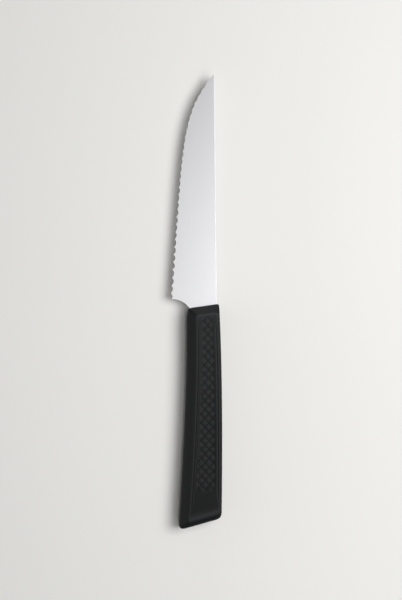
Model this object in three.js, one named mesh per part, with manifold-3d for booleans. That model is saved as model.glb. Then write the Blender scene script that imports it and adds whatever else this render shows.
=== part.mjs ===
// A steak knife: a stamped stainless blade with a scalloped edge, and a black plastic handle moulded
// round its tang. Millimetres. The knife lies on one side of its handle: +Y runs to the tip, +X to the
// spine and +Z up. Sizes are measured from the point where the spine enters the handle.
import * as THREE from "three";
import { mergeVertices } from "three/addons/utils/BufferGeometryUtils.js";
import Module from "manifold-3d";

// Blade outline
const BLADE_LENGTH = 114.6; // handle front to tip, along the straight spine
const BLADE_DEPTH = 23.2; // spine to heel
const HEEL_LEAD = 2.65; // handle front to heel
const HEEL_FLAT = 1.4; // straight stretch between the edge and the choil, the hollow ahead of the handle
const TIP_ANGLE = 43.9; // degrees between the spine and the edge at the point
const HEEL_ANGLE = 5.1; // degrees between the spine and the edge at the heel
const TIP_PULL = 25.9; // reach of the edge curve's handle at the point
const HEEL_PULL = 77.9; // reach of the edge curve's handle at the heel

// Blade section
const STOCK = 1.5; // sheet thickness, kept at the spine and the tang
const HEEL_STOCK = 0.6; // left by the taper grind at the heel
const TIP_STOCK = 1.0; // left by the taper grind at the tip

// Scalloped edge, ground from the lower face by a narrow wheel that moves square to the spine
const WHEEL_RADIUS = 5;
const GRIND_ANGLE = 20; // degrees between the wheel's path and the blade
const PITCH_TIP = 3.37; // scallop spacing along the spine, at the tip
const PITCH_HEEL = 3.92; // scallop spacing along the spine, at the heel
const PLAIN_POINT = 3.3; // edge with no scallops behind the tip
const WHEEL_SIDES = 64;

// Tang, hidden in the handle
const TANG_COVER = 24.4; // plastic behind the tang's end
const TANG_WALL = 3; // plastic between the tang and the belly side, at the front
const TANG_INSET = 3; // spine line to the tang's spine side
const SHOULDER = 3.5; // handle front to the step in the spine
const GRIND_RUNOUT = 1; // ground face past the choil's end and the step
const TANG_ROUNDING = 2;
const TANG_HOLE_RADIUS = 2.4;
const TANG_HOLE_PITCH = 22;
const TANG_HOLE_START = 22; // handle front to the first hole
const TANG_HOLE_WALL = 5; // steel behind the last hole
const MOULD_GAP = 0.3; // between the steel and the plastic

// Handle, seen from above: each side is a curve with four control distances from the spine line
const HANDLE_LENGTH = 106.3; // front to butt, along the spine line
const FRONT_SLOPE = 7.3; // degrees off square
const BUTT_SLOPE = 15.1; // degrees off square
const SPINE_SIDE = [1.25, 2.65, 2.05, 1.3]; // above the spine line, front to butt
const BELLY_SIDE = [15.2, 14.65, 17.3, 19.8]; // below the spine line, front to butt
const NOSE_ROUNDING = [0.6, 3]; // along the front and the spine side
const BUTT_ROUNDING = 3.3;
const CHIN_ROUNDING = [1.8, 9]; // along the front and the belly side

// Handle section
const HANDLE_THICKNESS = 13;
const WALL_HEIGHT = 6; // side wall at the parting line
const EDGE_SOFTNESS = 0.8; // height of the rounding above and below each bevel
const FACE_EASE = 0.08; // share of a flat bevel's width that rolls over into the face
const BEVEL_FRONT = 4.5; // width of each bevel, seen from above
const BEVEL_BELLY = 5.3;
const ROUND_SPINE = 1.4; // width of each side that is rounded over instead
const ROUND_BUTT = 4.7;
const FACE_ROUNDING = 1.3; // corners of the flat face

// Moulded grip on both faces
const FRAME_INSET = 0.65; // face edge to the middle of the frame line along each side
const FRAME_WIDTH = 0.8;
const FRAME_FLOOR = 0.2;
const FRAME_DEPTH = 0.25;
const FRAME_END = 6.5; // front or butt to the end of a frame line
const FRAME_RUNOUT = 7; // over which its end rises to the face
const PANEL_INSET = 1.9; // face edge to the diamonds, along the spine side
const PANEL_BELLY = 2; // face edge to the diamonds, along the belly side
const PANEL_FRONT = 0.6; // face edge to the first diamond's groove
const PANEL_TAIL = 15.4; // plain plastic behind the middles of the last row, along the spine line
const DIAMOND_WIDTH = 3.93; // across the handle
const DIAMOND_HEIGHT = 4.38; // along the handle
const DIAMOND_COLUMN = 4.95; // spine line to the middle column
const DIAMOND_START = 8.11; // handle front to the middle column's first diamond
const GROOVE_WIDTH = 0.9;
const GROOVE_FLOOR = 0.1;
const GROOVE_DEPTH = 0.25;

// Facets and cutters
const EDGE_STEPS = 40; // along the blade's edge
const HOLE_STEPS = 12; // to a half turn
const SIDE_STEPS = 12; // along each side of the handle
const CORNER_STEPS = 4; // round each corner of the handle
const SOFT_STEPS = 3; // round each soft edge
const BEVEL_STEPS = 3; // up each bevel
const CUT_PAST = 0.2; // how far a cutter runs past the face that it cuts
const SEARCH_STEPS = 40; // halvings, or turns of a search that closes in on a crossing
const UP = 1;
const DOWN = -1;

const { degToRad, lerp, mapLinear } = THREE.MathUtils;
const wasm = await Module();
wasm.setup();

// A closed geometry as a solid that can be joined and cut.
function solidOf(geometry) {
  geometry.deleteAttribute("normal");
  geometry.deleteAttribute("uv");
  const merged = mergeVertices(geometry);
  const vertProperties = new Float32Array(merged.attributes.position.array);
  const triVerts = new Uint32Array(merged.index.array);
  return new wasm.Manifold(new wasm.Mesh({ numProp: 3, vertProperties, triVerts }));
}

// A solid as a named mesh.
function meshOf(name, solid, material) {
  const { vertProperties, triVerts } = solid.getMesh();
  const geometry = new THREE.BufferGeometry();
  geometry.setAttribute("position", new THREE.BufferAttribute(vertProperties, 3));
  geometry.setIndex(new THREE.BufferAttribute(triVerts, 1));
  const flat = geometry.toNonIndexed();
  flat.computeVertexNormals();
  const mesh = new THREE.Mesh(flat, material);
  mesh.name = name;
  return mesh;
}

// A skin over rings of equal point counts, from the lowest ring to the highest, closed by flat caps.
function loft(rings) {
  const count = rings[0].points.length;
  const positions = rings.flatMap(({ points, z }) => points.flatMap((p) => [p.x, p.y, z]));
  const indices = [];
  for (let ring = 0; ring + 1 < rings.length; ring++) {
    for (let i = 0; i < count; i++) {
      const next = (i + 1) % count;
      const [a, b] = [ring * count + i, ring * count + next];
      indices.push(a, b, b + count, a, b + count, a + count);
    }
  }
  const last = count * (rings.length - 1);
  for (const [a, b, c] of THREE.ShapeUtils.triangulateShape(rings[0].points, [])) indices.push(c, b, a);
  for (const [a, b, c] of THREE.ShapeUtils.triangulateShape(rings.at(-1).points, [])) {
    indices.push(last + a, last + b, last + c);
  }
  const geometry = new THREE.BufferGeometry();
  geometry.setAttribute("position", new THREE.Float32BufferAttribute(positions, 3));
  geometry.setIndex(indices);
  return solidOf(geometry);
}

// The same rings on the upper face or, turned over, on the lower one.
function loftOn(face, rings) {
  const placed = rings.map(({ points, z }) => ({ points, z: face * z }));
  return loft(face === UP ? placed : placed.reverse());
}

// The edge as it is before the scallops are ground: a curve from the tip to the heel.
function edgeCurve() {
  const tip = new THREE.Vector2(0, BLADE_LENGTH);
  const heel = new THREE.Vector2(-BLADE_DEPTH, HEEL_LEAD);
  const along = (angle) => new THREE.Vector2(-Math.sin(degToRad(angle)), -Math.cos(degToRad(angle)));
  const tipHandle = tip.clone().addScaledVector(along(TIP_ANGLE), TIP_PULL);
  const heelHandle = heel.clone().addScaledVector(along(HEEL_ANGLE), -HEEL_PULL);
  return new THREE.CubicBezierCurve(tip, tipHandle, heelHandle, heel);
}

// The edge's place and direction at a distance from the handle front, found by halving.
function edgeAt(curve, y) {
  let [low, high] = [0, 1];
  for (let i = 0; i < SEARCH_STEPS; i++) {
    const middle = (low + high) / 2;
    if (curve.getPoint(middle).y > y) low = middle;
    else high = middle;
  }
  const tangent = curve.getTangent(low);
  return { x: curve.getPoint(low).x, slope: tangent.x / tangent.y };
}

// Half the blade's thickness: it falls evenly from the spine to the edge and from the handle to the tip.
function halfStock(x, y) {
  const toEdge = ((STOCK - HEEL_STOCK) / 2) * (-x / BLADE_DEPTH);
  const toTip = ((STOCK - TIP_STOCK) / 2) * (y / BLADE_LENGTH);
  return STOCK / 2 - toEdge - toTip;
}

// The choil is a quarter circle that leaves the heel square and runs into the tang's belly side.
const tangBelly = TANG_WALL - BELLY_SIDE[0];
const choilStart = HEEL_FLAT - BLADE_DEPTH;
const choilRadius = tangBelly - choilStart;
const choilEnd = HEEL_LEAD - choilRadius;

// The ground part of the sheet, from the tip to the shoulder behind the handle front.
function bladeBlank(grow) {
  const shape = new THREE.Shape();
  shape.moveTo(0, BLADE_LENGTH);
  shape.curves.push(edgeCurve());
  shape.currentPoint.set(-BLADE_DEPTH, HEEL_LEAD);
  shape.lineTo(choilStart, HEEL_LEAD);
  shape.absarc(choilStart, choilEnd, choilRadius - grow, Math.PI / 2, 0, true);
  const root = Math.min(choilEnd, -SHOULDER) - GRIND_RUNOUT;
  shape.lineTo(tangBelly - grow, root);
  shape.lineTo(-TANG_INSET + grow, root);
  shape.lineTo(-TANG_INSET + grow, -SHOULDER - grow);
  shape.lineTo(grow, -SHOULDER - grow);
  const options = { depth: 1, bevelEnabled: false, curveSegments: EDGE_STEPS };
  const geometry = new THREE.ExtrudeGeometry(shape, options);
  const at = geometry.attributes.position;
  for (let i = 0; i < at.count; i++) {
    const half = halfStock(at.getX(i), at.getY(i)) + grow;
    at.setZ(i, at.getZ(i) > 0 ? half : -half);
  }
  return solidOf(geometry);
}

// The hidden part of the sheet, at its full thickness, with the holes that the plastic fills.
function tang(grow) {
  const [left, right] = [tangBelly - grow, -TANG_INSET + grow];
  const length = HANDLE_LENGTH - TANG_COVER;
  const [top, bottom] = [-SHOULDER - grow, -length - grow];
  const shape = new THREE.Shape();
  shape.moveTo(right, top);
  shape.lineTo(left, top);
  shape.lineTo(left, bottom + TANG_ROUNDING);
  shape.quadraticCurveTo(left, bottom, left + TANG_ROUNDING, bottom);
  shape.lineTo(right - TANG_ROUNDING, bottom);
  shape.quadraticCurveTo(right, bottom, right, bottom + TANG_ROUNDING);
  const lastHole = length - TANG_HOLE_WALL - TANG_HOLE_RADIUS;
  for (let y = TANG_HOLE_START; y <= lastHole; y += TANG_HOLE_PITCH) {
    const hole = new THREE.Path();
    hole.absarc((left + right) / 2, -y, TANG_HOLE_RADIUS - grow, 0, 2 * Math.PI);
    shape.holes.push(hole);
  }
  const depth = STOCK + 2 * grow;
  const options = { depth, bevelEnabled: false, curveSegments: HOLE_STEPS };
  return solidOf(new THREE.ExtrudeGeometry(shape, options).translate(0, 0, -depth / 2));
}

// The whole sheet; grown by the mould gap it is the pocket that the handle leaves for it.
function sheet(grow) {
  return bladeBlank(grow).add(tang(grow));
}

// One pass of the wheel. Its highest line meets the upper face where the scallop is deepest, and it is
// drawn long enough to run out of the sheet twice over on each side.
function wheelPass(x, y) {
  const angle = degToRad(GRIND_ANGLE);
  const width = (4 * STOCK) / Math.sin(angle);
  const wheel = new THREE.CylinderGeometry(WHEEL_RADIUS, WHEEL_RADIUS, width, WHEEL_SIDES);
  wheel.rotateZ(-Math.PI / 2);
  wheel.translate(0, 0, -WHEEL_RADIUS);
  wheel.rotateY(angle);
  return solidOf(wheel.translate(x, y, halfStock(x, y)));
}

// Scallops from the point to the heel. Each is as deep as brings it to a sharp tooth at its neighbours;
// towards the point, where the edge turns away from the wheel's path, they grow shallow.
function scallops() {
  const curve = edgeCurve();
  const bottomRadius = WHEEL_RADIUS * Math.sin(degToRad(GRIND_ANGLE));
  const passes = [];
  let tooth = BLADE_LENGTH - PLAIN_POINT;
  while (tooth > HEEL_LEAD + PITCH_HEEL / 2) {
    const pitch = mapLinear(tooth, BLADE_LENGTH, HEEL_LEAD, PITCH_TIP, PITCH_HEEL);
    const y = tooth - pitch / 2;
    const { x, slope } = edgeAt(curve, y);
    const depth = pitch ** 2 / (8 * bottomRadius) - (bottomRadius * slope ** 2) / 2;
    if (depth > 0) passes.push(wheelPass(x + depth, y));
    tooth -= pitch;
  }
  return passes.reduce((all, pass) => all.add(pass));
}

// A side of the handle as a distance from the spine line at each place along it.
function sideCurve(controls) {
  const third = HANDLE_LENGTH / 3;
  const points = controls.map((across, i) => new THREE.Vector2(across, -i * third));
  const curve = new THREE.CubicBezierCurve(...points);
  return (y) => curve.getPoint(-y / HANDLE_LENGTH).x;
}

const spineSide = sideCurve(SPINE_SIDE);
const bellySide = sideCurve(BELLY_SIDE);

// The four sides of an outline that lies inside the handle's own by the given widths.
function sidesInside(front, spine, butt, belly) {
  return {
    front: (x) => x * Math.tan(degToRad(FRONT_SLOPE)) - front,
    spine: (y) => spineSide(y) - spine,
    butt: (x) => x * Math.tan(degToRad(BUTT_SLOPE)) - HANDLE_LENGTH + butt,
    belly: (y) => -bellySide(y) + belly,
  };
}

// The sides of the flat face, or of an outline further in.
function faceSides(inset) {
  return sidesInside(BEVEL_FRONT + inset, ROUND_SPINE + inset, ROUND_BUTT + inset, BEVEL_BELLY + inset);
}

// Where a long side meets an end.
function corner(side, end) {
  let y = end(0);
  for (let i = 0; i < SEARCH_STEPS; i++) y = end(side(y));
  return new THREE.Vector2(side(y), y);
}

// A closed outline with rounded corners. Each corner has a length along its end and one along its side.
function outline(sides, nose, butt, chin) {
  const corners = [
    { at: corner(sides.spine, sides.front), end: sides.front, side: sides.spine, cut: nose },
    { at: corner(sides.spine, sides.butt), end: sides.butt, side: sides.spine, cut: butt },
    { at: corner(sides.belly, sides.butt), end: sides.butt, side: sides.belly, cut: butt },
    { at: corner(sides.belly, sides.front), end: sides.front, side: sides.belly, cut: chin },
  ];
  const middleX = (corners[0].at.x + corners[2].at.x) / 2;
  const middleY = (corners[0].at.y + corners[2].at.y) / 2;
  const arcs = corners.map(({ at, end, side, cut }) => {
    const endX = at.x + Math.sign(middleX - at.x) * cut[0];
    const sideY = at.y + Math.sign(middleY - at.y) * cut[1];
    const onEnd = new THREE.Vector2(endX, end(endX));
    const onSide = new THREE.Vector2(side(sideY), sideY);
    return new THREE.QuadraticBezierCurve(onEnd, at, onSide).getPoints(CORNER_STEPS);
  });
  const along = (side, from, to) => {
    const steps = Array.from({ length: SIDE_STEPS - 1 }, (_, i) => lerp(from, to, (i + 1) / SIDE_STEPS));
    return steps.map((y) => new THREE.Vector2(side(y), y));
  };
  const [noseArc, spineArc, bellyArc, chinArc] = arcs;
  const points = [
    ...noseArc,
    ...along(sides.spine, noseArc.at(-1).y, spineArc.at(-1).y),
    ...spineArc.toReversed(),
    ...bellyArc,
    ...along(sides.belly, bellyArc.at(-1).y, chinArc.at(-1).y),
    ...chinArc.toReversed(),
  ];
  return points.reverse();
}

// The handle's outline at a height. Share goes from 0 at the side walls to 1 at the flat face along the
// flat bevels, and the spine side and the butt are rounded over on a quarter of an ellipse.
function bevelOutline(share, z) {
  const wall = WALL_HEIGHT / 2;
  const rise = Math.max(z - wall, 0) / (HANDLE_THICKNESS / 2 - wall);
  const roundShare = 1 - Math.sqrt(Math.max(1 - rise ** 2, 0));
  const sides = sidesInside(
    share * BEVEL_FRONT,
    roundShare * ROUND_SPINE,
    roundShare * ROUND_BUTT,
    share * BEVEL_BELLY,
  );
  const round = (lengths) => lengths.map((length) => lerp(length, FACE_ROUNDING, share));
  const butt = [BUTT_ROUNDING, BUTT_ROUNDING];
  return outline(sides, round(NOSE_ROUNDING), round(butt), round(CHIN_ROUNDING));
}

// An outline on the flat face, with even corners.
function faceOutline(inset) {
  const even = [FACE_ROUNDING, FACE_ROUNDING];
  return outline(faceSides(inset), even, even, even);
}

// The handle before the grip is moulded into it: upright walls, bevels with soft edges and two flat faces.
function handleBody() {
  const [wall, face] = [WALL_HEIGHT / 2, HANDLE_THICKNESS / 2];
  const [foot, brow] = [new THREE.Vector2(0, wall), new THREE.Vector2(1 - FACE_EASE, face)];
  const bevel = new THREE.LineCurve(foot, brow);
  const soft = EDGE_SOFTNESS / (face - wall);
  const [start, end] = [bevel.getPoint(soft), bevel.getPoint(1 - soft)];
  const profile = new THREE.Path();
  profile.moveTo(0, wall - EDGE_SOFTNESS);
  profile.quadraticCurveTo(foot.x, foot.y, start.x, start.y);
  for (let i = 1; i <= BEVEL_STEPS; i++) {
    profile.lineTo(lerp(start.x, end.x, i / BEVEL_STEPS), lerp(start.y, end.y, i / BEVEL_STEPS));
  }
  profile.quadraticCurveTo(brow.x, brow.y, 1, face);
  const upper = profile.getPoints(SOFT_STEPS).map(({ x, y }) => ({ points: bevelOutline(x, y), z: y }));
  const lower = upper.map(({ points, z }) => ({ points, z: -z })).reverse();
  return loft([...lower, ...upper]);
}

// The frame lines: a groove with sloped walls along each long side of a face, whose ends rise to the face.
function frameGroove(face) {
  const top = HANDLE_THICKNESS / 2;
  const lean = (FRAME_WIDTH - FRAME_FLOOR) / 2 / FRAME_DEPTH;
  const wallAt = (direction, rise) => ({
    points: faceOutline(FRAME_INSET + direction * (FRAME_FLOOR / 2 + lean * rise)),
    z: top - FRAME_DEPTH + rise,
  });
  const reachAt = (rise) => {
    const fromEnd = FRAME_END + FRAME_RUNOUT * (1 - rise / FRAME_DEPTH);
    const { front, butt } = sidesInside(fromEnd, 0, fromEnd, 0);
    const [left, right] = [-HANDLE_LENGTH, HANDLE_LENGTH];
    const ends = [[right, front(0)], [left, front(0)], [left, butt(0)], [right, butt(0)]];
    return { points: ends.map(([x, y]) => new THREE.Vector2(x, y)), z: top - FRAME_DEPTH + rise };
  };
  const height = FRAME_DEPTH + CUT_PAST;
  const outer = loftOn(face, [wallAt(-1, 0), wallAt(-1, height)]);
  const inner = loftOn(face, [wallAt(1, -CUT_PAST / 2), wallAt(1, height + CUT_PAST)]);
  const reach = loftOn(face, [reachAt(-CUT_PAST), reachAt(height)]);
  return outer.subtract(inner).intersect(reach);
}

// Where the diamonds of a panel have their middles: a row for each half of a diamond's height, with only
// the diamonds whose middles lie inside the panel.
function diamondMiddles() {
  const { front, spine } = faceSides(PANEL_INSET);
  const { belly } = faceSides(PANEL_BELLY);
  const tail = PANEL_TAIL - HANDLE_LENGTH;
  const columns = Math.ceil(HANDLE_LENGTH / DIAMOND_WIDTH);
  const middles = [];
  for (let row = 0; -DIAMOND_START - (row * DIAMOND_HEIGHT) / 2 > tail; row++) {
    const y = -DIAMOND_START - (row * DIAMOND_HEIGHT) / 2;
    for (let column = -columns; column <= columns; column++) {
      const x = -DIAMOND_COLUMN + (column + (row % 2) / 2) * DIAMOND_WIDTH;
      if (x > belly(y) && x < spine(y) && y < front(x)) middles.push(new THREE.Vector2(x, y));
    }
  }
  return middles;
}

// A diamond that grows or shrinks evenly from one height to another.
function diamondBlock(face, middle, low, high) {
  const ringAt = ({ grow, z }) => {
    const share = 1 + (2 * grow * Math.hypot(DIAMOND_WIDTH, DIAMOND_HEIGHT)) / DIAMOND_WIDTH / DIAMOND_HEIGHT;
    const [x, y] = [(share * DIAMOND_WIDTH) / 2, (share * DIAMOND_HEIGHT) / 2];
    const corners = [[x, 0], [0, y], [-x, 0], [0, -y]];
    return { points: corners.map(([a, b]) => new THREE.Vector2(middle.x + a, middle.y + b)), z };
  };
  return loftOn(face, [ringAt(low), ringAt(high)]);
}

// The grooves round the diamonds of one face, cut off at the panel's sides: the panel is sunk round each
// middle, a little past its groove, and all the pads are left standing.
function diamondGrooves(face) {
  const floor = HANDLE_THICKNESS / 2 - GROOVE_DEPTH;
  const lean = (GROOVE_WIDTH - GROOVE_FLOOR) / 2 / GROOVE_DEPTH;
  const outerLip = (rise) => ({ grow: GROOVE_FLOOR + lean * rise, z: floor + rise });
  const padLip = (rise) => ({ grow: -GROOVE_FLOOR / 2 - lean * rise, z: floor + rise });
  const height = GROOVE_DEPTH + CUT_PAST;
  const middles = diamondMiddles();
  const sunk = middles.map((middle) => diamondBlock(face, middle, outerLip(0), outerLip(height)));
  const pads = middles.map((middle) => {
    return diamondBlock(face, middle, padLip(-GROOVE_FLOOR / 4), padLip(height + CUT_PAST));
  });
  const even = [FACE_ROUNDING, FACE_ROUNDING];
  const { front } = faceSides(PANEL_FRONT);
  const { belly } = faceSides(PANEL_BELLY);
  const sides = { ...faceSides(PANEL_INSET), front, belly };
  const points = outline(sides, even, even, even);
  const panel = loftOn(face, [{ points, z: floor - CUT_PAST }, { points, z: floor + height + CUT_PAST }]);
  const join = (solids) => solids.reduce((all, solid) => all.add(solid));
  return join(sunk).subtract(join(pads)).intersect(panel);
}

function makeBlade() {
  const steel = new THREE.MeshStandardMaterial({ color: 0xcfd0d2, metalness: 1, roughness: 0.35 });
  return meshOf("blade", sheet(0).subtract(scallops()), steel);
}

function makeHandle() {
  const plastic = new THREE.MeshStandardMaterial({ color: 0x1f2022, metalness: 0, roughness: 0.5 });
  let body = handleBody().subtract(sheet(MOULD_GAP));
  for (const face of [UP, DOWN]) {
    body = body.subtract(frameGroove(face)).subtract(diamondGrooves(face));
  }
  return meshOf("handle", body, plastic);
}

// The knife stands on its own origin: the middle of its box in plan, and the face that it lies on.
const knife = new THREE.Group();
knife.add(makeBlade(), makeHandle());
const box = new THREE.Box3().setFromObject(knife);
const middle = box.getCenter(new THREE.Vector3());
knife.position.set(-middle.x, -middle.y, -box.min.z);

const part = new THREE.Group();
part.add(knife);

export default part;
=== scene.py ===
# A steak knife that lies on one side of its handle: a satin stainless blade with a scalloped edge, and a
# black plastic handle that is moulded round its tang.
import math

import bmesh
import bpy
from mathutils import Matrix, Vector
from mathutils.geometry import interpolate_bezier


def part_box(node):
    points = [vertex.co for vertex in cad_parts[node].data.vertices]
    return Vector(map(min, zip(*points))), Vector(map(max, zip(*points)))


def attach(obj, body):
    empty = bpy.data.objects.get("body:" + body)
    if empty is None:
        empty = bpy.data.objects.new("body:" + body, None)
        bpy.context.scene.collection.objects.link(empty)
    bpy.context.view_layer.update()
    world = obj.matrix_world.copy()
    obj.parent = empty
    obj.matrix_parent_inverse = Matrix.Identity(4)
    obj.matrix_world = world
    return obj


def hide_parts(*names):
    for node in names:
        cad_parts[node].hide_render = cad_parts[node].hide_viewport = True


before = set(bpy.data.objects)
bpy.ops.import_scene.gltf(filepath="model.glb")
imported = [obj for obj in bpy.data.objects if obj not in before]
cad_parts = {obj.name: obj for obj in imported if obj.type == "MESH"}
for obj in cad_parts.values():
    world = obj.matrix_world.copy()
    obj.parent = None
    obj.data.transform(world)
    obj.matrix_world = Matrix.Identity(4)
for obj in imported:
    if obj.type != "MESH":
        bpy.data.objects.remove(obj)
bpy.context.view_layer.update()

# The knife is modelled in millimetres from the point where the spine enters the handle, with X to the
# spine, Y to the tip and Z up from the middle of the sheet. Its place in the frame comes from the nodes.
MM = 0.001

# Blade outline
BLADE_LENGTH = 114.6  # handle front to tip
BLADE_DEPTH = 23.2  # spine to heel
HEEL_LEAD = 2.65  # handle front to heel
HEEL_FLAT = 1.4  # between the edge and the choil
TIP_ANGLE = math.radians(43.9)  # between the spine and the edge at the point
HEEL_ANGLE = math.radians(5.1)  # between the spine and the edge at the heel
TIP_PULL = 25.9  # reach of the edge curve's handle at the point
HEEL_PULL = 77.9  # reach of the edge curve's handle at the heel
EDGE_POINTS = 80  # on the edge curve
CHOIL_STEPS = 32

# Blade section
STOCK = 1.5  # sheet thickness at the spine
HEEL_STOCK = 0.6  # what the taper leaves at the heel
TIP_STOCK = 1.0  # what the taper leaves at the tip
SHEET_ROUNDING = 0.16  # tumbled edges of the stamping
ROUNDING_STEPS = 3
BLADE_SHARP = math.radians(10)  # edges that turn more than this aren't shaded smooth

# Scallops, ground from the lower face by a narrow wheel that moves square to the spine
WHEEL_RADIUS = 5
WHEEL_SIDES = 180
GRIND_ANGLE = math.radians(20)  # between the wheel's path and the blade
GRIND_POINTS = 3200  # on the edge curve, to place each pass
PITCH_TIP = 3.37  # between scallops, along the spine, at the tip
PITCH_HEEL = 3.92  # between scallops, along the spine, at the heel
PLAIN_POINT = 3.3  # edge with no scallops behind the tip

# Tang, hidden in the handle
TANG_COVER = 24.4  # plastic behind the tang's end
TANG_WALL = 3  # plastic between the tang and the belly side, at the front
TANG_INSET = 3  # spine line to the tang's spine side
SHOULDER = 3.5  # handle front to the step in the spine
TANG_ROUNDING = 2  # corners of the tang's end
TANG_CORNER_STEPS = 8
TANG_HOLE_RADIUS = 2.4
TANG_HOLE_PITCH = 22
TANG_HOLE_START = 22  # handle front to the first hole
TANG_HOLE_SIDES = 48
TANG_HOLES = 3

# Handle outline: each side is a curve with four control distances from the spine line
HANDLE_LENGTH = 106.3  # front to butt, along the spine line
FRONT_SLOPE = math.tan(math.radians(7.3))  # off square
BUTT_SLOPE = math.tan(math.radians(15.1))
SPINE_SIDE = (1.25, 2.65, 2.05, 1.3)  # front to butt
BELLY_SIDE = (-15.2, -14.65, -17.3, -19.8)
NOSE_ROUNDING = (0.6, 3)  # along the front and the spine side
BUTT_ROUNDING = (3.3, 3.3)  # along the butt and each side
CHIN_ROUNDING = (1.8, 9)  # along the front and the belly side
SIDE_STEPS = 48
END_STEPS = 6
CORNER_STEPS = 10
CORNER_TRIES = 30  # to find where an end meets a side

# Handle section
HANDLE_THICKNESS = 13
WALL_HEIGHT = 6  # side wall at the parting line
EDGE_SOFTNESS = 0.8  # height of the rounding above and below each bevel
FACE_EASE = 0.08  # share of a flat bevel's width that rolls over into the face
SOFT_STEPS = 7
BEVEL_STEPS = 6
BEVEL_FRONT = 4.5  # width of each flat bevel, seen from above
BEVEL_BELLY = 5.3
ROUND_SPINE = 1.4  # rounded over, where the front and the belly side are bevelled flat
ROUND_BUTT = 4.7
FACE_ROUNDING = (1.3, 1.3)  # corners of the flat face
PARTING_DEPTH = 0.06  # the fine line that the two halves of the mould leave
PARTING_WIDTH = 0.2
HANDLE_SHARP = math.radians(32)  # edges that turn more than this aren't shaded smooth

# Moulded grip
FRAME_INSET = 0.65  # face edge to the middle of the frame line along each side
FRAME_WIDTH = 0.8
FRAME_FLOOR = 0.2  # width of its flat bottom
FRAME_DEPTH = 0.25
FRAME_END = 6.5  # front or butt to the end of a frame line
FRAME_RUNOUT = 7  # over which its end rises to the face
FRAME_SHRINK = 0.15  # what is left of its inset past its end
LAND_WIDTH = 0.3  # the rubbed lip beside a frame line
PANEL_INSET = 1.9  # face edge to the diamonds, along the spine side
PANEL_BELLY = 2  # face edge to the diamonds, along the belly side
PANEL_FRONT = 0.6  # face edge to the first diamond's groove
PANEL_TAIL = 15.4  # plain plastic behind the middles of the last row
PANEL_RUNOUT = 0.35  # over which a groove rises to the face at the panel's border
DIAMOND_WIDTH = 3.93  # across the handle
DIAMOND_HEIGHT = 4.38  # along the handle
DIAMOND_COLUMN = -4.95  # spine line to the middle of the first row's diamond
DIAMOND_START = -8.11  # handle front to the middle of the first row
DIAMOND_COLUMNS = 4  # the most that may lie to either side of that diamond
GROOVE_WIDTH = 0.9
GROOVE_DEPTH = 0.25
PAD_CROWN = 0.02  # a pad's border lies this far below its middle
GRIP_ROUNDING = 0.1  # edges of the pads
GRIP_STEPS = 2

# Painted light and paleness on the grip, from 0 for the plain black plastic to 1 for a pale grey that paints
# highlights
PAINTED_PAD_HIGHLIGHT = 0.34  # painted highlight in the middle of a pad
PAINTED_PAD_BORDER = 0.24  # painted tone at the border of a pad, between its highlight and the groove's shade
PAINTED_GROOVE_SHADE = 0.12  # painted shade between the pads
PAINTED_BROW_HIGHLIGHT = 0.42  # painted highlight along the edge of the face
PAINTED_LIP_HIGHLIGHT = 0.75  # painted highlight on the inner edge of a frame line
FRONT_PALENESS = 0.33  # paleness added to the face, most at its front
PAINTED_END_HIGHLIGHT = 0.39  # painted highlight along the edges of the face's two ends
END_HIGHLIGHT_FADE = 3  # over which that painted highlight fades

# Stage, with its places and sizes in metres, and the image that the photograph gives
FLOOR_SIZE = 4
WORLD_STRENGTH = 0.12
IMAGE_HEIGHT = 600  # in pixels
IMAGE_SCALE = 2.01  # pixels to the millimetre at the handle's middle
CAMERA_LENS = 90
CAMERA_OFFSET = (2.63, 0.5)  # image middle from the knife's middle, in millimetres
CAMERA_ROLL = math.radians(-0.638)

CRISP = math.radians(20)  # edges that turn more than this are rounded
NEAR = 1e-4  # closer than this is the same place

TIP = Vector((0, BLADE_LENGTH, 0))
HEEL = Vector((-BLADE_DEPTH, HEEL_LEAD, 0))
FACE = HANDLE_THICKNESS / 2


# Small helpers

def to_linear(hex_colour):
    """An sRGB hex colour as the linear colour that a shader takes."""
    parts = [int(hex_colour[i:i + 2], 16) / 255 for i in (1, 3, 5)]
    return [p / 12.92 if p <= 0.04045 else ((p + 0.055) / 1.055) ** 2.4 for p in parts] + [1]


def add_node(material, kind, settings=None, **inputs):
    """Adds a node. An input is a value, or an output socket that is linked to it."""
    node = material.node_tree.nodes.new(kind)
    for name, value in (settings or {}).items():
        setattr(node, name, value)
    for name, value in inputs.items():
        socket = node.inputs[name.replace("_", " ")]
        if isinstance(value, bpy.types.NodeSocket):
            material.node_tree.links.new(value, socket)
        else:
            socket.default_value = value
    return node


def new_material(name):
    """A material with no nodes yet."""
    material = bpy.data.materials.new(name)
    material.use_nodes = True
    material.node_tree.nodes.clear()
    return material


def add_surface(material, **inputs):
    """Ends a material with a principled surface, and gives the material."""
    shader = add_node(material, "ShaderNodeBsdfPrincipled", **inputs)
    add_node(material, "ShaderNodeOutputMaterial", Surface=shader.outputs["BSDF"])
    return material


def new_object(name, bm, material):
    """A mesh object at the origin, from a bmesh that is then freed."""
    mesh = bpy.data.meshes.new(name)
    bm.to_mesh(mesh)
    bm.free()
    mesh.materials.append(material)
    piece = bpy.data.objects.new(name, mesh)
    bpy.context.scene.collection.objects.link(piece)
    return piece


def bend(start, corner, end, points):
    """A smooth curve that leaves its start towards a corner and reaches its end from there."""
    return interpolate_bezier(start, start.lerp(corner, 2 / 3), end.lerp(corner, 2 / 3), end, points)


def draw_on(bm, vert, points):
    """Carries a wire on from a vertex through points, and gives its last vertex."""
    for point in points:
        following = bm.verts.new(point)
        bm.edges.new((vert, following))
        vert = following
    return vert


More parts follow.
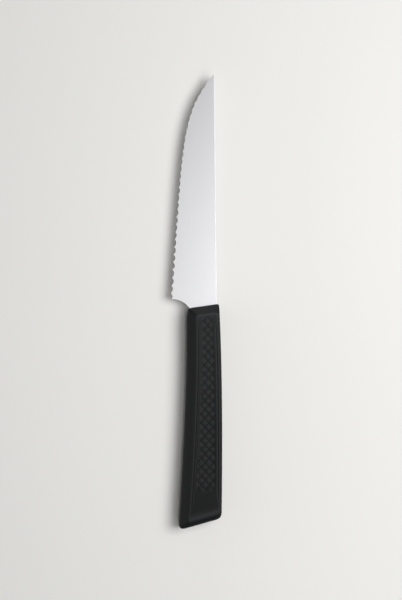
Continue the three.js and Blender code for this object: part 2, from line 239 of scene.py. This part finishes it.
def carve(piece, cutters, finish):
    """Takes the cutters' volumes out of a piece, and gives the cuts a finish of their own."""
    tools = [new_object("cutter", cutter, finish) for cutter in cutters]
    for tool in tools:
        cut = piece.modifiers.new("cut", "BOOLEAN")
        cut.object = tool
        cut.solver = "EXACT"
        cut.material_mode = "TRANSFER"
    ready = piece.evaluated_get(bpy.context.evaluated_depsgraph_get())
    carved = bpy.data.meshes.new_from_object(ready)
    piece.modifiers.clear()
    piece.data = carved
    for tool in tools:
        bpy.data.objects.remove(tool)


def seat(piece, node, sharp):
    """Moves a finished piece from the knife's own millimetres into the frame, in its node's stead."""
    blade_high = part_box("blade")[1]
    handle_low, handle_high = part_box("handle")
    middle = (handle_low.z + handle_high.z) / 2
    place = Vector((blade_high.x, blade_high.y - BLADE_LENGTH * MM, middle))
    piece.data.transform(Matrix.Translation(place) @ Matrix.Scale(MM, 4))
    piece.data.shade_smooth()
    piece.data.set_sharp_from_angle(angle=sharp)
    even = piece.modifiers.new("even shading", "WEIGHTED_NORMAL")
    even.keep_sharp = True
    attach(piece, "root")
    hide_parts(node)


# Materials

def satin_stainless():
    """Stainless steel with a satin grind: fine lines from the spine to the edge that spread reflections."""
    steel = new_material("satin_ground_stainless_steel")
    place = add_node(steel, "ShaderNodeTexCoord")
    lines = add_node(steel, "ShaderNodeMapping", Vector=place.outputs["Object"], Scale=(0.02, 1, 1))
    grit = add_node(steel, "ShaderNodeTexNoise", Vector=lines.outputs["Vector"], Scale=1 / (0.25 * MM),
                    Detail=3.0, Roughness=0.6)
    gloss = add_node(steel, "ShaderNodeMapRange", Value=grit.outputs["Fac"], To_Min=0.4, To_Max=0.5)
    bump = add_node(steel, "ShaderNodeBump", Height=grit.outputs["Fac"], Strength=0.08, Distance=0.02 * MM)
    return add_surface(steel, Base_Color=to_linear("#cacacc"), Metallic=1.0,
                       Roughness=gloss.outputs["Result"], Normal=bump.outputs["Normal"])


def bright_ground_stainless():
    """Stainless steel fresh from the scallop wheel: brighter than the satin, with lines along the grind."""
    steel = new_material("bright_wheel_ground_stainless_steel")
    place = add_node(steel, "ShaderNodeTexCoord")
    lines = add_node(steel, "ShaderNodeMapping", Vector=place.outputs["Object"], Scale=(0.05, 1, 1))
    grit = add_node(steel, "ShaderNodeTexNoise", Vector=lines.outputs["Vector"], Scale=1 / (0.12 * MM),
                    Detail=2.0, Roughness=0.5)
    bump = add_node(steel, "ShaderNodeBump", Height=grit.outputs["Fac"], Strength=0.1, Distance=0.01 * MM)
    return add_surface(steel, Base_Color=to_linear("#e8e8ea"), Metallic=1.0, Roughness=0.42,
                       Normal=bump.outputs["Normal"])


def moulded_polypropylene():
    """Black polypropylene from an eroded mould: a fine even grain that turns gloss into a grey haze. A
    vertex value turns the colour pale grey and the gloss duller, and so paints highlights, shade in the
    grooves and a paleness towards the front."""
    plastic = new_material("black_moulded_polypropylene")
    place = add_node(plastic, "ShaderNodeTexCoord")
    grain = add_node(plastic, "ShaderNodeTexNoise", Vector=place.outputs["Object"], Scale=1 / (0.3 * MM),
                     Detail=2.0, Roughness=0.6)
    haze = add_node(plastic, "ShaderNodeTexNoise", Vector=place.outputs["Object"], Scale=1 / (14 * MM),
                    Detail=3.0, Roughness=0.5)
    # The vertex value of painted highlights, painted shade and paleness that the handle carries.
    painted_light_and_paleness = add_node(plastic, "ShaderNodeAttribute", {"attribute_name": "painted_light_and_paleness"})
    fresh = add_node(plastic, "ShaderNodeMix", {"data_type": "RGBA"}, Factor=haze.outputs["Fac"],
                     A=to_linear("#131415"), B=to_linear("#161718"))
    # Painted light: a high value mixes in pale grey for painted highlights on edges and pads, a low value
    # leaves painted shade in the grooves.
    tone = add_node(plastic, "ShaderNodeMix", {"data_type": "RGBA"}, Factor=painted_light_and_paleness.outputs["Fac"],
                    A=fresh.outputs["Result"], B=to_linear("#38393a"))
    gloss = add_node(plastic, "ShaderNodeMapRange", Value=painted_light_and_paleness.outputs["Fac"], To_Min=0.52, To_Max=0.6)
    bump = add_node(plastic, "ShaderNodeBump", Height=grain.outputs["Fac"], Strength=0.25,
                    Distance=0.03 * MM)
    return add_surface(plastic, Base_Color=tone.outputs["Result"], IOR=1.49, Specular_IOR_Level=0.12,
                       Roughness=gloss.outputs["Result"], Normal=bump.outputs["Normal"])


# Blade

def edge_curve(points):
    """The cutting edge before it is ground, from the tip to the heel."""
    tip_handle = TIP - TIP_PULL * Vector((math.sin(TIP_ANGLE), math.cos(TIP_ANGLE), 0))
    heel_handle = HEEL + HEEL_PULL * Vector((math.sin(HEEL_ANGLE), math.cos(HEEL_ANGLE), 0))
    return interpolate_bezier(TIP, tip_handle, heel_handle, HEEL, points)


def half_stock(point):
    """Half the thickness, which falls evenly from the spine to the edge and from the handle to the tip."""
    to_edge = (STOCK - HEEL_STOCK) / 2 * -point.x / BLADE_DEPTH
    to_tip = (STOCK - TIP_STOCK) / 2 * point.y / BLADE_LENGTH
    return STOCK / 2 - to_edge - to_tip


def stamped_sheet():
    """The blade and its tang before the scallops are ground: an outline that is given its thickness."""
    bm = bmesh.new()
    tip = bm.verts.new(TIP)
    tang_belly = BELLY_SIDE[0] + TANG_WALL
    choil_start = HEEL + Vector((HEEL_FLAT, 0, 0))
    choil_radius = tang_belly - choil_start.x
    heel = draw_on(bm, tip, edge_curve(EDGE_POINTS)[1:])
    choil = draw_on(bm, heel, [choil_start])
    centre = choil_start - Vector((0, choil_radius, 0))
    turned = bmesh.ops.spin(bm, geom=[choil], cent=centre, axis=(0, 0, 1), angle=-math.pi / 2,
                            steps=CHOIL_STEPS)
    tang_root = next(part for part in turned["geom_last"] if isinstance(part, bmesh.types.BMVert))
    tang_end = TANG_COVER - HANDLE_LENGTH
    belly_corner = draw_on(bm, tang_root, [(tang_belly, tang_end, 0)])
    spine_corner = draw_on(bm, belly_corner, [(-TANG_INSET, tang_end, 0)])
    shoulder = draw_on(bm, spine_corner, [(-TANG_INSET, -SHOULDER, 0), (0, -SHOULDER, 0)])
    bm.edges.new((shoulder, tip))
    bmesh.ops.edgeloop_fill(bm, edges=bm.edges[:])
    bmesh.ops.bevel(bm, geom=[belly_corner, spine_corner], offset=TANG_ROUNDING, segments=TANG_CORNER_STEPS,
                    profile=0.5, affect="VERTICES", material=-1)
    raised = bmesh.ops.extrude_face_region(bm, geom=bm.faces[:])
    upper = {part for part in raised["geom"] if isinstance(part, bmesh.types.BMVert)}
    for vert in bm.verts:
        half = half_stock(vert.co)
        vert.co.z = half if vert in upper else -half
    bmesh.ops.recalc_face_normals(bm, faces=bm.faces[:])
    return bm


def is_on_edge(vert):
    """True along the cutting edge, which stays sharp from the point to the heel's corner."""
    return vert.co.y > HEEL_LEAD + NEAR or vert.co.x < HEEL.x + NEAR


def scallop_wheels():
    """Every pass of the wheel, from the point to the heel. Each pass is as deep as brings it to a sharp
    tooth at its neighbours, so the scallops grow shallow where the edge turns away towards the point."""
    wheels = []
    edge = edge_curve(GRIND_POINTS)
    bottom_radius = WHEEL_RADIUS * math.sin(GRIND_ANGLE)
    width = 4 * STOCK / math.sin(GRIND_ANGLE)  # reaches well past both faces
    across = Matrix.Rotation(math.pi / 2, 4, "Y")
    tilt = Matrix.Rotation(GRIND_ANGLE, 4, "Y")
    drop = Matrix.Translation((0, 0, -WHEEL_RADIUS))
    tooth = BLADE_LENGTH - PLAIN_POINT
    while tooth > HEEL_LEAD + PITCH_HEEL / 2:
        share = (BLADE_LENGTH - tooth) / (BLADE_LENGTH - HEEL_LEAD)
        pitch = PITCH_TIP + share * (PITCH_HEEL - PITCH_TIP)
        place = next(i for i, point in enumerate(edge) if point.y <= tooth - pitch / 2)
        step = edge[place] - edge[place - 1]
        depth = pitch ** 2 / (8 * bottom_radius) - bottom_radius * (step.x / step.y) ** 2 / 2
        if depth > 0:
            root = edge[place] + Vector((depth, 0, 0))
            root.z = half_stock(root)
            wheel = bmesh.new()
            bmesh.ops.create_cone(wheel, cap_ends=True, segments=WHEEL_SIDES, radius1=WHEEL_RADIUS,
                                  radius2=WHEEL_RADIUS, depth=width,
                                  matrix=Matrix.Translation(root) @ tilt @ drop @ across)
            wheels.append(wheel)
        tooth -= pitch
    return wheels


def tang_drills():
    """The holes in the tang that the plastic fills."""
    bm = bmesh.new()
    middle = (BELLY_SIDE[0] + TANG_WALL - TANG_INSET) / 2
    for hole in range(TANG_HOLES):
        along = -TANG_HOLE_START - hole * TANG_HOLE_PITCH
        bmesh.ops.create_cone(bm, cap_ends=True, segments=TANG_HOLE_SIDES,
                              radius1=TANG_HOLE_RADIUS, radius2=TANG_HOLE_RADIUS, depth=2 * STOCK,
                              matrix=Matrix.Translation((middle, along, 0)))
    return bm


def make_blade():
    """A stamped sheet with tumbled edges, whose scallops are ground and whose tang is drilled."""
    bm = stamped_sheet()
    rims = [edge for edge in bm.edges
            if edge.calc_face_angle() > CRISP
            and edge.verts[0].co.z * edge.verts[1].co.z > 0
            and not all(is_on_edge(vert) for vert in edge.verts)
            and not any(vert.co.y < -SHOULDER for vert in edge.verts)]
    bmesh.ops.bevel(bm, geom=rims, offset=SHEET_ROUNDING, segments=ROUNDING_STEPS, profile=0.5,
                    affect="EDGES", material=-1)
    blade = new_object("blade_satin", bm, satin_stainless())
    carve(blade, scallop_wheels(), bright_ground_stainless())
    carve(blade, [tang_drills()], blade.data.materials[0])
    seat(blade, "blade", BLADE_SHARP)


# Handle

def side_at(controls, y):
    """A long side's distance from the spine line."""
    t = -y / HANDLE_LENGTH
    s = 1 - t
    a, b, c, d = controls
    return a * s ** 3 + 3 * b * s ** 2 * t + 3 * c * s * t ** 2 + d * t ** 3


def front_at(x, inset):
    """The front's place along the handle."""
    return x * FRONT_SLOPE - inset


def butt_at(x, inset):
    """The butt's place along the handle."""
    return x * BUTT_SLOPE - HANDLE_LENGTH + inset


def outline(widths, nose, butt, chin):
    """The handle's outline, drawn in by a width at its front, spine side, butt and belly side, with
    rounded corners. Each corner has a length along its end and one along its side."""
    front_width, spine_width, butt_width, belly_width = widths

    def front(x):
        return front_at(x, front_width)

    def rear(x):
        return butt_at(x, butt_width)

    def spine(y):
        return side_at(SPINE_SIDE, y) - spine_width

    def belly(y):
        return side_at(BELLY_SIDE, y) + belly_width

    def rounded(end, side, lengths, inward, along):
        """A corner's curve, from its end to its side."""
        y = end(0)
        for _ in range(CORNER_TRIES):
            y = end(side(y))
        corner = Vector((side(y), y, 0))
        x = corner.x + inward * lengths[0]
        on_end = Vector((x, end(x), 0))
        y += along * lengths[1]
        on_side = Vector((side(y), y, 0))
        return bend(on_end, corner, on_side, CORNER_STEPS + 1)

    def between(start, end, steps, side=None):
        """The points between two corners, on a side's curve or a straight end."""
        points = [start.lerp(end, i / steps) for i in range(1, steps)]
        return points if side is None else [Vector((side(p.y), p.y, 0)) for p in points]

    nose_arc = rounded(front, spine, nose, -1, -1)
    rear_arc = rounded(rear, spine, butt, -1, 1)[::-1]
    butt_arc = rounded(rear, belly, butt, 1, 1)
    chin_arc = rounded(front, belly, chin, 1, -1)[::-1]
    return (nose_arc + between(nose_arc[-1], rear_arc[0], SIDE_STEPS, spine)
            + rear_arc + between(rear_arc[-1], butt_arc[0], END_STEPS)
            + butt_arc + between(butt_arc[-1], chin_arc[0], SIDE_STEPS, belly)
            + chin_arc + between(chin_arc[-1], nose_arc[0], END_STEPS))


def bevel_ring(share, height, inset=0):
    """The outline at a height. Share goes from 0 at the walls to 1 at the flat face along the flat bevels,
    and the spine side and the butt are rounded over on a quarter of an ellipse."""
    def eased(lengths):
        return [a + share * (b - a) for a, b in zip(lengths, FACE_ROUNDING)]

    wall = WALL_HEIGHT / 2
    rise = min(max(height - wall, 0) / (FACE - wall), 1)
    round_share = 1 - math.sqrt(1 - rise ** 2)
    widths = [share * BEVEL_FRONT, round_share * ROUND_SPINE, round_share * ROUND_BUTT, share * BEVEL_BELLY]
    points = outline([width + inset for width in widths], eased(NOSE_ROUNDING), eased(BUTT_ROUNDING),
                     eased(CHIN_ROUNDING))
    return [point + Vector((0, 0, height)) for point in points]


def face_ring(front, spine, butt, belly):
    """An outline on the flat face, drawn in from the face's edge by an inset at each side."""
    widths = (BEVEL_FRONT + front, ROUND_SPINE + spine, ROUND_BUTT + butt, BEVEL_BELLY + belly)
    points = outline(widths, FACE_ROUNDING, FACE_ROUNDING, FACE_ROUNDING)
    return [point + Vector((0, 0, FACE)) for point in points]


def frame_ring(inset, depth):
    """An outline on the face that dips into the frame lines. Near the handle's ends it rises to the face
    and closes in on the face's edge."""
    ring = []
    for edge, point in zip(face_ring(0, 0, 0, 0), face_ring(inset, inset, inset, inset)):
        from_end = min(front_at(point.x, 0) - point.y, point.y - butt_at(point.x, 0))
        run = min(max((from_end - FRAME_END) / FRAME_RUNOUT, 0), 1)
        run = run * run * (3 - 2 * run)
        place = edge.lerp(point, FRAME_SHRINK + (1 - FRAME_SHRINK) * run)
        ring.append(place - Vector((0, 0, depth * run)))
    return ring


def handle_rings():
    """Outlines from the parting line up the wall and the bevel and in over the face, each with how much
    painted highlight it carries."""
    wall = WALL_HEIGHT / 2
    foot = Vector((0, wall))
    brow = Vector((1 - FACE_EASE, FACE))
    soft = EDGE_SOFTNESS / (FACE - wall)
    start = Vector((0, wall - EDGE_SOFTNESS))
    end = Vector((1, FACE))
    low, high = foot.lerp(brow, soft), foot.lerp(brow, 1 - soft)
    profile = bend(start, foot, low, SOFT_STEPS)
    profile += [low.lerp(high, i / BEVEL_STEPS) for i in range(1, BEVEL_STEPS)]
    bends = bend(high, brow, end, SOFT_STEPS)
    rings = [(bevel_ring(0, 0, PARTING_DEPTH), 0), (bevel_ring(0, PARTING_WIDTH / 2), 0)]
    rings += [(bevel_ring(point.x, point.y), 0) for point in profile]
    # The rounding into the face carries a painted highlight that grows towards the face.
    rings += [(bevel_ring(point.x, point.y), PAINTED_BROW_HIGHLIGHT * i / SOFT_STEPS) for i, point in enumerate(bends)]
    lip = FRAME_WIDTH / 2
    floor = FRAME_FLOOR / 2
    # The outer lip of each frame line carries a painted highlight, its floor none.
    rings.append((frame_ring(FRAME_INSET - lip, 0), PAINTED_BROW_HIGHLIGHT))
    rings.append((frame_ring(FRAME_INSET - floor, FRAME_DEPTH), 0))
    rings.append((frame_ring(FRAME_INSET + floor, FRAME_DEPTH), 0))
    # The inner lip carries a brighter painted highlight.
    rings.append((frame_ring(FRAME_INSET + lip, 0), PAINTED_LIP_HIGHLIGHT))
    rings.append((frame_ring(FRAME_INSET + lip + LAND_WIDTH, 0), 0))
    rings.append((face_ring(PANEL_FRONT, PANEL_INSET, PANEL_INSET, PANEL_BELLY), 0))
    return rings


def extrude_ring(bm, ring, points):
    """Extrudes a closed ring of vertices and moves the copy to an outline."""
    edges = [bm.edges.get(pair) for pair in zip(ring, ring[1:] + ring[:1])]
    grown = set(bmesh.ops.extrude_edge_only(bm, edges=edges)["geom"])
    copy = [next(edge.other_vert(vert) for edge in vert.link_edges if edge.other_vert(vert) in grown)
            for vert in ring]
    for vert, point in zip(copy, points):
        vert.co = point
    return copy


def diamond_middles():
    """The middles of the diamonds, each of which lies inside the panel's sides."""
    middles = []
    for row in range(round(2 * HANDLE_LENGTH / DIAMOND_HEIGHT)):
        y = DIAMOND_START - row * DIAMOND_HEIGHT / 2
        low = side_at(BELLY_SIDE, y) + BEVEL_BELLY + PANEL_BELLY
        high = side_at(SPINE_SIDE, y) - ROUND_SPINE - PANEL_INSET
        first = DIAMOND_COLUMN + row % 2 * DIAMOND_WIDTH / 2
        for column in range(-DIAMOND_COLUMNS, DIAMOND_COLUMNS):
            x = first + column * DIAMOND_WIDTH
            if low < x < high and y > PANEL_TAIL - HANDLE_LENGTH:
                middles.append(Vector((x, y, FACE)))
    return middles


def emboss(bm, panel, in_panel, painted_light_and_paleness):
    """Cuts a panel's face along the grooves round the diamonds, sinks what lies in the grooves, and paints
    the pads paler towards their middles as a painted highlight and the grooves darker as painted shade."""
    for face in panel:
        face[in_panel] = 1

    def cut_along(point, normal):
        """Splits the panel along a plane. Its parts go in by a fixed order, so that each run is the same."""
        faces = [face for face in bm.faces if face[in_panel]]
        edges = dict.fromkeys(edge for face in faces for edge in face.edges)
        verts = dict.fromkeys(vert for face in faces for vert in face.verts)
        bmesh.ops.bisect_plane(bm, geom=faces + list(edges) + list(verts), dist=NEAR, plane_co=point,
                               plane_no=normal)

    tail = PANEL_TAIL - HANDLE_LENGTH - DIAMOND_HEIGHT
    cut_along((0, tail, FACE), (0, 1, 0))
    grip = [face for face in bm.faces if face[in_panel] and face.calc_center_median().y > tail]
    for face in bm.faces:
        face[in_panel] = face in grip
    ys = [vert.co.y for face in grip for vert in face.verts]
    xs = [vert.co.x for face in grip for vert in face.verts]
    spread = (max(xs) - min(xs)) / DIAMOND_WIDTH
    first = math.floor((min(ys) - DIAMOND_START) / DIAMOND_HEIGHT - spread)
    last = math.ceil((max(ys) - DIAMOND_START) / DIAMOND_HEIGHT + spread)
    for row in range(2 * first, 2 * last + 1):
        y = DIAMOND_START + row * DIAMOND_HEIGHT / 2
        cut_along((DIAMOND_COLUMN, y, FACE), (0, 1, 0))
        cut_along((DIAMOND_COLUMN + row * DIAMOND_WIDTH / 2, y, FACE), (1, 0, 0))
        if row % 2 == 0:
            continue
        for lean in (1, -1):
            across = Vector((DIAMOND_HEIGHT, -lean * DIAMOND_WIDTH, 0)).normalized()
            for offset in (-GROOVE_WIDTH / 2, 0, GROOVE_WIDTH / 2):
                cut_along(Vector((DIAMOND_COLUMN, y, FACE)) + offset * across, across)
    middles = diamond_middles()
    spacing = DIAMOND_WIDTH * DIAMOND_HEIGHT / math.hypot(DIAMOND_WIDTH, DIAMOND_HEIGHT)
    half = GROOVE_WIDTH / 2
    for vert in {vert for face in bm.faces if face[in_panel] for vert in face.verts}:
        reach = min(abs(vert.co.x - middle.x) / DIAMOND_WIDTH + abs(vert.co.y - middle.y) / DIAMOND_HEIGHT
                    for middle in middles)
        from_groove = (0.5 - reach) * spacing
        if from_groove > half:
            shade = (from_groove - half) / (spacing / 2 - half)
            vert.co.z -= PAD_CROWN * (1 - shade)
            # Painted highlight, palest in the pad's middle.
            vert[painted_light_and_paleness] = PAINTED_PAD_BORDER + (PAINTED_PAD_HIGHLIGHT - PAINTED_PAD_BORDER) * shade
        elif abs(from_groove) < half:
            border = PAD_CROWN if from_groove > 0 else 0
            vert.co.z -= border + (GROOVE_DEPTH - border) * (1 - abs(from_groove) / half)
            # Painted shade in the groove.
            vert[painted_light_and_paleness] = PAINTED_GROOVE_SHADE


def pale_face_and_paint_end_highlights(bm, painted_light_and_paleness):
    """Makes the face paler towards its front, and paints a highlight along the edges of its
    two ends."""
    for vert in bm.verts:
        if vert.co.z > FACE - GROOVE_DEPTH - NEAR:
            from_end = min(front_at(vert.co.x, BEVEL_FRONT) - vert.co.y,
                           vert.co.y - butt_at(vert.co.x, ROUND_BUTT))
            # The face grows paler towards its front.
            paleness_and_highlight = FRONT_PALENESS * (1 + vert.co.y / HANDLE_LENGTH) ** 2
            # Painted highlight along the edges of the two ends.
            paleness_and_highlight += PAINTED_END_HIGHLIGHT * min(max(1 - from_end / END_HIGHLIGHT_FADE, 0), 1) ** 2
            vert[painted_light_and_paleness] += (1 - vert[painted_light_and_paleness]) * paleness_and_highlight


def make_handle():
    """Rings from the parting line to the panel, an embossed grip with painted highlights and shade, and the
    mirrored lower half.
    """
    bm = bmesh.new()
    in_panel = bm.faces.layers.int.new("panel")
    # Per-vertex value of painted highlights, painted shade and paleness.
    painted_light_and_paleness = bm.verts.layers.float.new("painted_light_and_paleness")
    (parting, _), *rest = handle_rings()
    ring = [bm.verts.new(point) for point in parting]
    for pair in zip(ring, ring[1:] + ring[:1]):
        bm.edges.new(pair)
    # Each ring carries its painted highlight.
    for points, rub in rest:
        ring = extrude_ring(bm, ring, points)
        for vert in ring:
            vert[painted_light_and_paleness] = rub
    panel = [bm.faces.new(ring)]
    bmesh.ops.recalc_face_normals(bm, faces=bm.faces[:])
    bmesh.ops.inset_region(bm, faces=panel, thickness=PANEL_RUNOUT)
    emboss(bm, panel, in_panel, painted_light_and_paleness)
    pale_face_and_paint_end_highlights(bm, painted_light_and_paleness)
    crisp = [edge for edge in bm.edges if edge.is_manifold and edge.is_convex
             and edge.calc_face_angle() > CRISP
             and all(vert.co.z > FACE - PAD_CROWN - NEAR for vert in edge.verts)]
    bmesh.ops.bevel(bm, geom=crisp, offset=GRIP_ROUNDING, segments=GRIP_STEPS, profile=0.5,
                    affect="EDGES", material=-1)
    bmesh.ops.mirror(bm, geom=bm.verts[:] + bm.edges[:] + bm.faces[:], axis="Z", merge_dist=NEAR)
    bmesh.ops.recalc_face_normals(bm, faces=bm.faces[:])
    handle = new_object("handle_moulded", bm, moulded_polypropylene())
    seat(handle, "handle", HANDLE_SHARP)


# Stage

def studio_light(name, place, size, power):
    """A soft box that faces the knife, with its place and its two sizes in metres and its power in watts."""
    lamp = bpy.data.lights.new(name, "AREA")
    lamp.shape = "ELLIPSE"
    lamp.size, lamp.size_y = size
    lamp.energy = power
    light = bpy.data.objects.new(name, lamp)
    light.location = place
    light.rotation_euler = (-Vector(place)).to_track_quat("-Z", "Y").to_euler()
    bpy.context.scene.collection.objects.link(light)


def make_stage():
    """A pale floor, a dim world and five soft boxes."""
    paint = new_material("pale_matt_paint")
    add_surface(paint, Base_Color=to_linear("#ecebe8"), Roughness=0.9)
    bm = bmesh.new()
    bmesh.ops.create_grid(bm, size=FLOOR_SIZE)
    floor = new_object("floor", bm, paint)
    world = bpy.data.worlds.new("studio")
    world.use_nodes = True
    sky = world.node_tree.nodes["Background"]
    sky.inputs["Color"].default_value = to_linear("#f4f4f4")
    sky.inputs["Strength"].default_value = WORLD_STRENGTH
    bpy.context.scene.world = world
    studio_light("key", (0.4, 0.05, 0.66), (0.5, 0.5), 4.8)
    studio_light("overhead", (0.1, -0.06, 0.9), (0.12, 0.12), 1.03)
    studio_light("near", (0.25, -0.48, 0.6), (0.4, 0.4), 0.5)
    studio_light("left", (-0.8, 0, 0.07), (1.2, 0.13), 2.5)
    studio_light("far", (0, 0.85, 0.055), (0.6, 0.1), 3.0)


def make_camera():
    """Straight above the knife, turned a little, as the photograph is taken."""
    frame_height = IMAGE_HEIGHT / IMAGE_SCALE * MM
    lens = bpy.data.cameras.new("camera")
    lens.lens = CAMERA_LENS
    camera = bpy.data.objects.new("camera", lens)
    distance = frame_height * lens.lens / lens.sensor_width
    across, along = CAMERA_OFFSET
    camera.location = (across * MM, along * MM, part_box("handle")[1].z / 2 + distance)
    camera.rotation_euler = (0, 0, CAMERA_ROLL)
    bpy.context.scene.collection.objects.link(camera)
    bpy.context.scene.camera = camera


make_blade()
make_handle()
make_stage()
make_camera()
bpy.context.scene.view_settings.view_transform = "Standard"
